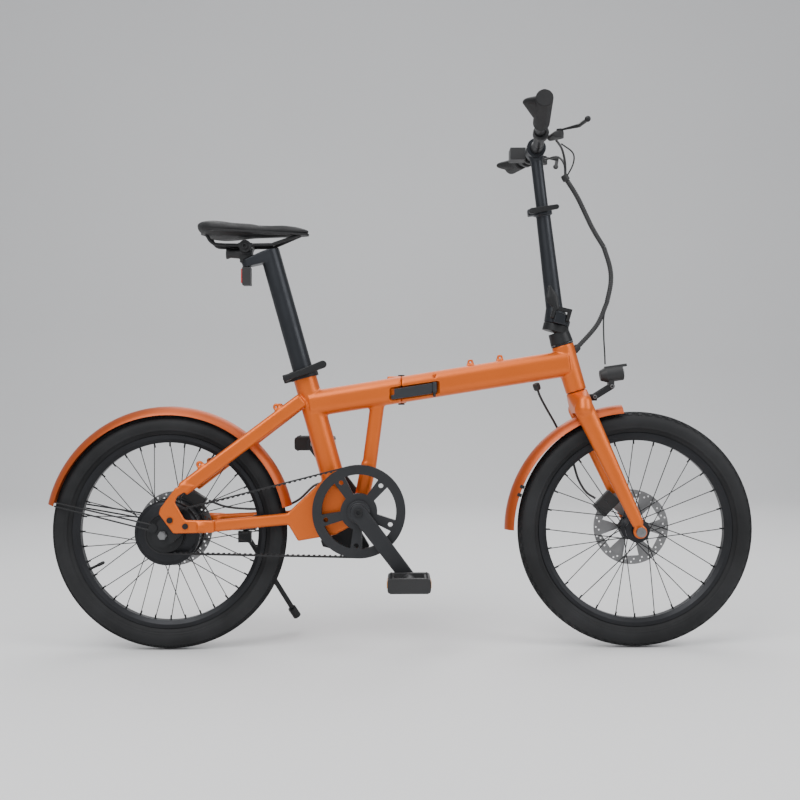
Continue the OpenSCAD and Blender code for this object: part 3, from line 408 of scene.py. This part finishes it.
brushed = Paint("silver_steel", Metallic=0.95)
swirl = brushed.node("ShaderNodeTexWave", {"wave_type": "RINGS", "rings_direction": "Y"}, {
    "Vector": brushed.place, "Scale": 420.0, "Distortion": 3.0, "Detail": 2.0})
brushed.set(Base_Color=brushed.blend(brushed.noise(40, 3), (0.17, 0.17, 0.172), (0.27, 0.27, 0.272)),
            Roughness=0.24 + swirl * 0.14 + brushed.noise(30, 2) * 0.1)
brushed.bump(swirl, 0.05, 0.0001)
brushed.on("rear_rotor", "front_rotor", "rear_axle", "front_axle", "pedal_spindles")


def many(name, shape, places):
    """One mesh of copies of a shape, each set in place by a matrix."""
    whole = bmesh.new()
    for place in places:
        one = shape.data.copy()
        one.transform(place)
        whole.from_mesh(one)
        bpy.data.meshes.remove(one)
    whole.to_mesh(shape.data)
    whole.free()
    shape.name = name
    return shape


def nipples(name, hub, count, body):
    """A nipple at each spoke's end: one is turned, and its copies are set round the rim."""
    outline = [(0.0005, 0), (0.0019, 0), (0.0019, 0.007), (0.0013, 0.009), (0.0005, 0.009)]
    first = turned(name, outline, (0, 0, 0), 8, (1, 0, 0))
    places = []
    for i in range(count):
        turn = 2 * math.pi * i / count
        side = -0.0022 if i % 2 == 0 else 0.0022
        lean = -0.0013 if i % 4 < 2 else 0.0013
        at = hub + Vector((0.1785 * math.cos(turn), side + lean, 0.1785 * math.sin(turn)))
        places.append(Matrix.Translation(at) @ Matrix.Rotation(-turn, 4, "Y"))
    many(name, first, places)
    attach(first, body)
    return first


def valve(name, hub, degrees, body):
    """A valve with its threaded stem and its cap, pointing at the hub."""
    turn = math.radians(degrees)
    out = Vector((math.cos(turn), 0, math.sin(turn)))
    outline = [(0.0005, 0), (0.0034, 0), (0.0034, 0.004)]
    for i in range(12):
        outline += [(0.0030, 0.0045 + i * 0.0012), (0.0026, 0.0051 + i * 0.0012)]
    outline += [(0.0036, 0.0195), (0.0036, 0.031), (0.0026, 0.034), (0.0005, 0.034)]
    piece = turned(name, outline, hub + out * 0.188, 20, -out)
    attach(piece, body)
    return piece


black_steel.on(nipples("rear_nipples", rear_hub, 36, "rear_wheel"),
               nipples("front_nipples", front_hub, 28, "front_wheel"),
               valve("rear_valve", rear_hub, 205, "rear_wheel"),
               valve("front_valve", front_hub, 107, "front_wheel"))

# ---- Drive ----
# Forged cranks on a square spindle, a milled ring and a toothed belt to the sprocket on the hub motor.
# Cast and forged pieces have eased edges. Bolts and the bearing shells are steel.
def eased(paint, voxel, rounds, *parts):
    """CAD pieces with their edges eased, as forged, cast and moulded pieces have."""
    for part in parts:
        piece = welded(part + "_eased", (part,), voxel, rounds, body_of(nodes[part])[0])
        paint.on(piece)


def block(name, size, centre, round_by, body, paint, turn=0):
    """A block with rounded edges, turned in degrees about Y and fixed to a body."""
    bpy.ops.object.select_all(action="DESELECT")
    bpy.ops.mesh.primitive_cube_add(size=1)
    piece = bpy.context.object
    piece.name = name
    piece.data.transform(Matrix.Diagonal((*size, 1)))
    modifier = piece.modifiers.new("edges", "BEVEL")
    modifier.width, modifier.segments = round_by, 4
    bpy.ops.object.modifier_apply(modifier="edges")
    piece.data.transform(Matrix.Translation(centre) @ Matrix.Rotation(math.radians(turn), 4, "Y"))
    bpy.ops.object.shade_smooth_by_angle(angle=math.radians(35))
    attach(piece, body)
    paint.on(piece)
    return piece


def bolt(name, radius, height, base, body, out=(0, -1, 0)):
    """A socket head bolt, standing on its base point, with its hollow hexagon."""
    outline = [(radius * 0.42, -0.002), (radius * 0.94, -0.002), (radius * 0.94, 0), (radius, 0.0002),
               (radius, height - 0.0005), (radius - 0.0005, height), (radius * 0.55, height),
               (radius * 0.5, height - 0.0003), (radius * 0.5, height * 0.4), (radius * 0.42, height * 0.4)]
    piece = turned(name, outline, base, 36, out, 25)
    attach(piece, body)
    return piece


crank_paint = Paint("crank_black", Metallic=0.55, Specular_IOR_Level=0.5)
forge = crank_paint.noise(700, 3)
crank_paint.set(Base_Color=crank_paint.blend(crank_paint.noise(12, 3), (0.020, 0.021, 0.023),
                                             (0.034, 0.035, 0.038)),
                Roughness=0.40 + forge * 0.12 + crank_paint.noise(40, 4).clamp(0.5, 0.8) * 0.12)
crank_paint.bump(forge, 0.10, 0.0002)
crank_paint.on("chainring")
eased(crank_paint, 0.0011, 5, "crank_arms")

belt_paint = Paint("belt_rubber", Specular_IOR_Level=0.35)
belt_paint.set(Base_Color=belt_paint.blend(belt_paint.noise(120, 3), (0.010, 0.010, 0.011),
                                           (0.022, 0.022, 0.023)),
               Roughness=0.55 + belt_paint.noise(300, 3) * 0.2)
belt_paint.bump(belt_paint.noise(1800, 2), 0.12, 0.0002)
belt_paint.on("drive_belt")

plastic = Paint("plastic_black", Specular_IOR_Level=0.45)
moulding = plastic.noise(1700, 2)
plastic.set(Base_Color=plastic.blend(plastic.noise(20, 3), (0.011, 0.0112, 0.012), (0.019, 0.0192, 0.020)),
            Roughness=0.44 + moulding * 0.18)
plastic.bump(moulding, 0.16, 0.0002)
eased(plastic, 0.0009, 4, "right_pedal", "left_pedal", "rear_caliper", "front_caliper")

axle = middle("chainring")
for side in (-1, 1):
    arm_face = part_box("crank_arms")[0].y if side < 0 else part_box("crank_arms")[1].y
    black_steel.on(bolt("crank_bolt_right" if side < 0 else "crank_bolt_left", 0.0088, 0.0045,
                        Vector((axle.x, arm_face, axle.z)), "crankset", (0, side, 0)))

amber = Paint("amber_lens", Transmission_Weight=0.25, Coat_Weight=0.6, Coat_Roughness=0.08)
prism = amber.cells(520, "F1")
amber.set(Base_Color=amber.blend(prism.clamp(0.0, 0.7), (0.78, 0.19, 0.008), (0.95, 0.42, 0.03)),
          Roughness=0.12 + prism * 0.25)
amber.bump(prism, 0.6, 0.0006)
for name, body in (("right_pedal", "right_pedal"), ("left_pedal", "left_pedal")):
    low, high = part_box(name)
    mid = (low + high) / 2
    studs = []
    for along in (low.x + 0.007, high.x - 0.007):
        for step in range(6):
            for face in (-1, 1):
                studs.append(Matrix.Translation((along, low.y + 0.008 + step * 0.0136,
                                                 mid.z + face * 0.0135)))
    stud = turned(name + "_studs", [(0.0001, -0.0025), (0.0019, -0.0025), (0.0017, 0.0022), (0.0013, 0.0027),
                  (0.0001, 0.0027)], (0, 0, 0), 12, (0, 0, 1), 30)
    up_and_down = [m @ Matrix.Rotation(0 if m.translation.z > mid.z else math.pi, 4, "X") for m in studs]
    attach(many(name + "_studs", stud, up_and_down), body)
    black_steel.on(stud)
    for end, at in (("front", high.x - 0.0004), ("rear", low.x + 0.0004)):
        block(name + "_reflector_" + end, (0.0036, 0.052, 0.013), (at, mid.y, mid.z), 0.001, body, amber)
        lens = bpy.context.object

# ---- Seat ----
# An anodised post that holds the battery, a cast clamp on steel rails, and a padded saddle on a stiff shell.
post_paint = Paint("post_grey", Metallic=0.7, Specular_IOR_Level=0.5)
anodising = post_paint.noise(800, 2)
post_paint.set(Base_Color=post_paint.blend(post_paint.noise(9, 3), (0.020, 0.022, 0.026),
                                           (0.034, 0.037, 0.042)),
               Roughness=0.33 + anodising * 0.10 + post_paint.noise(35, 3).clamp(0.45, 0.8) * 0.1)
post_paint.bump(anodising, 0.05, 0.0002)
post_paint.on("bar_post")
eased(post_paint, 0.0013, 5, "seat_post", "handle_post")
eased(black_steel, 0.0008, 4, "saddle_clamp", "seat_collar", "seat_lever", "stem_base")
eased(black_steel, 0.0006, 4, "stem_latch", "collar_lever", "lamp_bracket")
bored(bpy.data.objects["seat_collar_eased"], seat_mouth, seat_lean, collar_deep, seat_bore_r)
post_up = Vector((-math.sin(math.radians(post_lean)), 0, math.cos(math.radians(post_lean))))
bored(bpy.data.objects["handle_post_eased"], stem_hinge + post_up * post_long, post_lean, post_bore_deep,
      post_bore_r)

battery_paint = Paint("battery_cell", Specular_IOR_Level=0.4)
battery_paint.set(Base_Color=battery_paint.blend(battery_paint.noise(30, 3), (0.012, 0.03, 0.07),
                                                 (0.018, 0.04, 0.09)),
                  Roughness=0.38 + battery_paint.noise(400, 2) * 0.15)
battery_paint.on("battery")

leather = Paint("saddle_leather", Specular_IOR_Level=0.3)
grain = leather.cells(900, "DISTANCE_TO_EDGE").clamp(0.0, 0.35)
leather.set(Base_Color=leather.blend(leather.noise(25, 3), (0.0095, 0.0095, 0.010), (0.019, 0.019, 0.020)),
            Roughness=0.46 + leather.noise(180, 3) * 0.18)
leather.bump(grain + leather.noise(1600, 2) * 0.3, 0.30, 0.0004)
leather.on("saddle_shell")


def saddle_ring(t):
    """One section of the saddle's padding at t, from 0 at the tail to 1 at the nose."""
    low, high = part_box("saddle_cover")
    rear = math.sqrt(max(0.0, 1 - (1 - min((t + 0.012) / 0.2, 1)) ** 2))
    nose = math.sqrt(max(0.0, 1 - (max(t - 0.90, 0) / 0.102) ** 2))
    waist = 0.5 + 0.5 * math.cos(math.pi * min(max((t - 0.16) / 0.52, 0), 1))
    half = (0.0185 + 0.0525 * waist) * rear * nose
    top = high.z - 0.0145 + 0.0125 * max(0.0, 1 - t / 0.34) ** 1.5 - 0.006 * max(t - 0.75, 0) / 0.25
    base = low.z - 0.0075 + 0.006 * t
    if t < 0.06:
        base += 0.010 * (1 - t / 0.06)
    mid, reach = (top + base) / 2, (top - base) / 2 * (0.55 + 0.45 * rear) * (0.5 + 0.5 * nose)
    ring = []
    for step in range(32):
        turn = 2 * math.pi * step / 32
        across, up = math.cos(turn), math.sin(turn)
        ring.append((low.x + 0.003 + (high.x - low.x - 0.006) * t,
                     half * math.copysign(abs(across) ** 0.62, across),
                     mid + reach * math.copysign(abs(up) ** 0.8, up)))
    return ring


def saddle_pad():
    """The padding is lofted, remeshed, blown up a little as cloth, and then given its middle channel."""
    stations = 40
    shape = bmesh.new()
    rings = [[shape.verts.new(point) for point in saddle_ring(s / stations)] for s in range(stations + 1)]
    for first, second in zip(rings, rings[1:]):
        for i in range(32):
            shape.faces.new((first[i], first[(i + 1) % 32], second[(i + 1) % 32], second[i]))
    shape.faces.new(rings[0])
    shape.faces.new(rings[-1])
    bmesh.ops.recalc_face_normals(shape, faces=shape.faces)
    mesh = bpy.data.meshes.new("saddle_pad")
    shape.to_mesh(mesh)
    shape.free()
    pad = bpy.data.objects.new("saddle_pad", mesh)
    bpy.context.scene.collection.objects.link(pad)
    bpy.ops.object.select_all(action="DESELECT")
    pad.select_set(True)
    bpy.context.view_layer.objects.active = pad
    modifier = pad.modifiers.new("remesh", "REMESH")
    modifier.mode, modifier.voxel_size = "VOXEL", 0.004
    bpy.ops.object.modifier_apply(modifier="remesh")
    before = [point.co.copy() for point in pad.data.vertices]
    cloth = pad.modifiers.new("swell", "CLOTH")
    cloth.settings.use_pressure = True
    cloth.settings.uniform_pressure_force = 4
    cloth.settings.effector_weights.gravity = 0
    for moment in range(1, 21):
        bpy.context.scene.frame_set(moment)
    bpy.ops.object.modifier_apply(modifier="swell")
    bpy.context.scene.frame_set(1)
    for point, start in zip(pad.data.vertices, before):
        move = point.co - start
        point.co = start + move * min(1, 0.005 / max(move.length, 1e-6))
    modifier = pad.modifiers.new("fillet", "SMOOTH")
    modifier.factor, modifier.iterations = 0.5, 3
    bpy.ops.object.modifier_apply(modifier="fillet")
    modifier = pad.modifiers.new("finer", "SUBSURF")
    modifier.levels = modifier.render_levels = 1
    bpy.ops.object.modifier_apply(modifier="finer")
    low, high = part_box("saddle_cover")
    for point in pad.data.vertices:
        along = (point.co.x - low.x) / (high.x - low.x)
        fade = max(0.0, min(1, (along - 0.08) / 0.12, (0.88 - along) / 0.15))
        if point.co.z > low.z + 0.010:
            point.co.z -= 0.0035 * fade * math.exp(-(point.co.y / 0.0075) ** 2)
    bpy.ops.object.shade_smooth()
    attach(pad, body_of(nodes["saddle_cover"])[0])
    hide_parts("saddle_cover")
    return pad


leather.on(saddle_pad())

clamp_bolt_at = Vector((middle("saddle_clamp").x, 0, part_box("saddle_clamp")[1].z - 0.013))
charge_port = turned("charge_port", [(0.0001, -0.026), (0.0085, -0.026), (0.0118, -0.0235), (0.0125, -0.018),
                     (0.0105, -0.012), (0.0098, 0.004), (0.0125, 0.010), (0.0125, 0.013), (0.0001, 0.013)],
                     clamp_bolt_at + Vector((-0.029, 0, -0.012)), 48, (-1, 0, 0.05))
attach(charge_port, body_of(nodes["saddle_clamp"])[0])
plastic.on(charge_port)

red_lens = Paint("red_lens", Transmission_Weight=0.2, Coat_Weight=0.7, Coat_Roughness=0.06)
facets = red_lens.cells(420)
red_lens.set(Base_Color=red_lens.blend(facets.clamp(0.0, 0.8), (0.42, 0.006, 0.006), (0.70, 0.02, 0.015)),
             Roughness=0.12 + facets * 0.2)
red_lens.bump(facets, 0.5, 0.0006)
eased(plastic, 0.0006, 4, "rear_light")
low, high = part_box("rear_light")
block("rear_light_lens", (0.0042, 0.024, 0.031), (low.x - 0.0008, 0, low.z + 0.0195), 0.0018,
      body_of(nodes["rear_light"])[0], red_lens)
for side in (-1, 1):
    at = clamp_bolt_at + Vector((0, side * 0.026, 0))
    black_steel.on(bolt("clamp_bolt_right" if side < 0 else "clamp_bolt_left", 0.0065, 0.004, at,
                        body_of(nodes["saddle_clamp"])[0], (0, side, 0)))

# ---- Cockpit ----
# A narrow alloy bar with winged rubber grips, a display, and two hydraulic brake levers on clamped bodies.
grip_paint = Paint("grip_rubber", Specular_IOR_Level=0.25)
knurl = grip_paint.cells(620, "DISTANCE_TO_EDGE").clamp(0.0, 0.3)
grip_paint.set(Base_Color=grip_paint.blend(grip_paint.noise(40, 3), (0.010, 0.010, 0.0105),
                                           (0.020, 0.020, 0.021)),
               Roughness=0.56 + grip_paint.noise(300, 2) * 0.2)
grip_paint.bump(knurl, 0.5, 0.0005)
eased(grip_paint, 0.0010, 5, "grips")
eased(plastic, 0.0008, 4, "display")
eased(black_steel, 0.0007, 4, "right_brake_lever", "left_brake_lever")

slate = Paint("lever_slate", Metallic=0.4, Coat_Weight=0.2, Coat_Roughness=0.3)
slate.set(Base_Color=slate.blend(slate.noise(18, 3), (0.022, 0.024, 0.028), (0.036, 0.039, 0.045)),
          Roughness=0.34 + slate.noise(500, 2) * 0.14)
slate.bump(slate.noise(900, 2), 0.06, 0.0002)
eased(slate, 0.0006, 4, "frame_latch")

glass = Paint("screen_glass", Coat_Weight=1.0, Coat_Roughness=0.03)
glass.set(Base_Color=glass.blend(glass.noise(60, 2), (0.006, 0.008, 0.011), (0.010, 0.013, 0.017)),
          Roughness=0.08 + glass.noise(200, 2) * 0.06)
screen_low, screen_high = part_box("display")
block("display_screen", (0.026, 0.033, 0.0022), (screen_low.x + 0.017, 0.082, screen_high.z - 0.0160), 0.0008,
      "bar_post", glass)
for step in (-1, 0, 1):
    at = (screen_low.x + 0.0065, 0.082 + step * 0.0095, screen_high.z - 0.0150)
    block("display_button_" + "abc"[step + 1], (0.0055, 0.007, 0.0026), at, 0.001, "bar_post", grip_paint)


# ---- Cables ----
# A ribbed plastic loom holds the hoses and wires from the frame to the bar. It gives at each joint that it
# crosses: the steering, the folding stem and the sliding bar post. Thin leads leave it at both ends.
def route(points, step):
    """Points along a smooth curve through the given places, in millimetres from the rear axle."""
    rear = Vector((rear_hub.x, 0, 0))
    places = [rear + Vector(p) / 1000 for p in points]
    places = [places[0] * 2 - places[1]] + places + [places[-1] * 2 - places[-2]]
    out = []
    for a, b, c, d in zip(places, places[1:], places[2:], places[3:]):
        count = max(2, round((c - b).length / step))
        for i in range(count):
            t = i / count
            out.append(0.5 * (2 * b + (c - a) * t + (2 * a - 5 * b + 4 * c - d) * t ** 2
                              + (3 * b - a - 3 * c + d) * t ** 3))
    return out + [places[-2]]


def hose(name, points, radius, bodies, bend=None, ribs=False):
    """A hose along a route. It rides on one body, or gives between two bodies from bend[0] to bend[1]."""
    line = route(points, 0.0011 if ribs else 0.004)
    curve = bpy.data.curves.new(name, "CURVE")
    curve.dimensions = "3D"
    curve.bevel_depth, curve.bevel_resolution = radius, 3
    curve.use_fill_caps = True
    spline = curve.splines.new("POLY")
    spline.points.add(len(line) - 1)
    for i, (point, place) in enumerate(zip(spline.points, line)):
        point.co = (*place, 1)
        point.radius = 0.86 if ribs and i % 4 >= 2 else 1
    piece = bpy.data.objects.new(name, curve)
    bpy.context.scene.collection.objects.link(piece)
    bpy.ops.object.select_all(action="DESELECT")
    piece.select_set(True)
    bpy.context.view_layer.objects.active = piece
    bpy.ops.object.convert(target="MESH")
    piece = bpy.context.object
    edit(piece)
    done(60 if ribs else None)
    cable_paint.on(piece)
    if bend is None:
        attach(piece, bodies)
    else:
        rear = Vector((rear_hub.x, 0, 0))
        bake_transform(piece, *bodies, rear + Vector(bend[0]) / 1000, rear + Vector(bend[1]) / 1000)
    return piece


cable_paint = Paint("cable_black", Specular_IOR_Level=0.5)
cable_paint.set(Base_Color=cable_paint.blend(cable_paint.noise(60, 2), (0.009, 0.009, 0.0095),
                                             (0.018, 0.018, 0.019)),
                Roughness=0.34 + cable_paint.noise(220, 3) * 0.2)
cable_paint.bump(cable_paint.noise(900, 2), 0.08, 0.0002)
cable_paint.on("rear_brake_hose")

loom = [(836, -8, 986), (861, -9, 945), (891, -9, 882), (916, -8, 840), (929, -6, 798), (931, -4, 765),
        (923, -2, 724), (902, 0, 677), (858, 0, 627)]
front_hose = [(776, 12, 548), (784, 22, 528), (800, 34, 500), (818, 42, 470), (838, 46, 430), (856, 46, 390),
              (868, 44, 350), (884, 40, 322), (904, 38, 308)]
lamp_wire = [(921, -2, 716), (916, -3, 690), (916, -3, 650), (918, -1, 620), (919, 0, 594)]
right_lead = [(836, -10, 986), (834, -16, 1018), (824, -40, 1040), (806, -88, 1046)]
left_lead = [(836, -6, 986), (836, 6, 1018), (826, 36, 1040), (806, 88, 1046)]
slack_lead = [(836, -8, 984), (850, -22, 1012), (846, -46, 1030), (818, -76, 1042)]
cables = [
    hose("loom_upper", loom[:4], 0.0054, ("bar_post", "handle_post"), (loom[0], loom[3]), True),
    hose("loom_middle", loom[3:7], 0.0054, ("handle_post", "fork"), (loom[3], loom[6]), True),
    hose("loom_lower", loom[6:], 0.0054, ("fork", "front_frame"), (loom[6], loom[8]), True),
    hose("front_brake_hose", front_hose, 0.0025, ("front_frame", "fork"), (front_hose[1], front_hose[5])),
    hose("lamp_wire", lamp_wire, 0.0016, ("fork", "headlight"), (lamp_wire[3], lamp_wire[4])),
    hose("right_lead", right_lead, 0.0025, "bar_post"),
    hose("left_lead", left_lead, 0.0025, "bar_post"),
    hose("slack_lead", slack_lead, 0.0016, "bar_post")]
for piece in cables:
    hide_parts("control_cables")
for name, at, along, body in (
        ("loom_sleeve_top", loom[0], (-0.5, 0, 0.85), "bar_post"),
        ("loom_sleeve_base", loom[8], (0.65, 0, 0.75), "front_frame"),
        ("hose_grommet", front_hose[0], (0.3, 0.35, -0.85), "front_frame")):
    outline = [(0.0001, -0.006), (0.0072, -0.006), (0.0078, -0.004), (0.0078, 0.004), (0.0068, 0.007),
               (0.0001, 0.007)]
    sleeve = turned(name, outline, Vector((rear_hub.x, 0, 0)) + Vector(at) / 1000, 36, along)
    plastic.on(sleeve)
    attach(sleeve, body)


# ---- Headlight ----
# A moulded lamp with a hood, a clear ribbed lens in front of a bright dish, on two screwed steel arms. The
# lens's pale grey colour is a painted reflection of that bright dish.
eased(plastic, 0.0008, 4, "headlight")
lamp_axis = Vector((math.sin(math.radians(82)), 0, math.cos(math.radians(82))))
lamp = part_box("headlight")[1] - Vector((0.0300, 0.016, 0.0223))
lens = turned("headlight_lens", [(0.0001, 0.0185), (0.0142, 0.0185), (0.0145, 0.0225), (0.011, 0.0245),
              (0.006, 0.0256), (0.0001, 0.026)], lamp, 64, lamp_axis)
# The lens's pale grey, varied over its ribs, is a painted reflection of the bright dish behind it. The ribs'
# bump and roughness are the lens's own.
clear = Paint("lens_painted_dish_reflection", Transmission_Weight=0.55, Coat_Weight=0.8, Coat_Roughness=0.04, IOR=1.49)
rings = clear.cells(260)
clear.set(Base_Color=clear.blend(rings, (0.62, 0.64, 0.66), (0.86, 0.87, 0.88)),
          Roughness=0.08 + rings * 0.15)
clear.bump(rings, 0.4, 0.0005)
clear.on(lens)
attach(lens, "headlight")
for side in (-1, 1):
    for number, at in enumerate((middle("lamp_bracket") + Vector((-0.0165, side * 0.014, -0.010)),
                                 middle("lamp_bracket") + Vector((0.0195, side * 0.014, 0.012)))):
        name = "lamp_screw_" + ("right" if side < 0 else "left") + "_" + str(number)
        screw = bolt(name, 0.0042, 0.0026, at, "fork", (0, side, 0))
        brushed.on(screw)


# ---- Small fittings ----
# Two pairs of clips on the tail of the front fender, and the nuts of the front axle.
for number, turn in enumerate((159, 163)):
    at = front_hub + 0.256 * Vector((math.cos(math.radians(turn)), 0, math.sin(math.radians(turn))))
    for side in (-1, 1):
        block("fender_clip_" + str(number) + ("a" if side < 0 else "b"), (0.009, 0.005, 0.007),
              (at.x, side * 0.0275, at.z), 0.0012, "fork", black_steel, 20)
for side in (-1, 1):
    nut = turned("front_axle_nut_" + ("right" if side < 0 else "left"), [(0.0001, -0.002), (0.0098, -0.002),
                 (0.0104, 0.000), (0.0104, 0.0028), (0.0095, 0.0040), (0.0040, 0.0042), (0.0035, 0.0030),
                 (0.0001, 0.0030)], Vector((front_hub.x, side * 0.0655, front_hub.z)), 40, (0, side, 0), 25)
    brushed.on(nut)
    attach(nut, "fork")
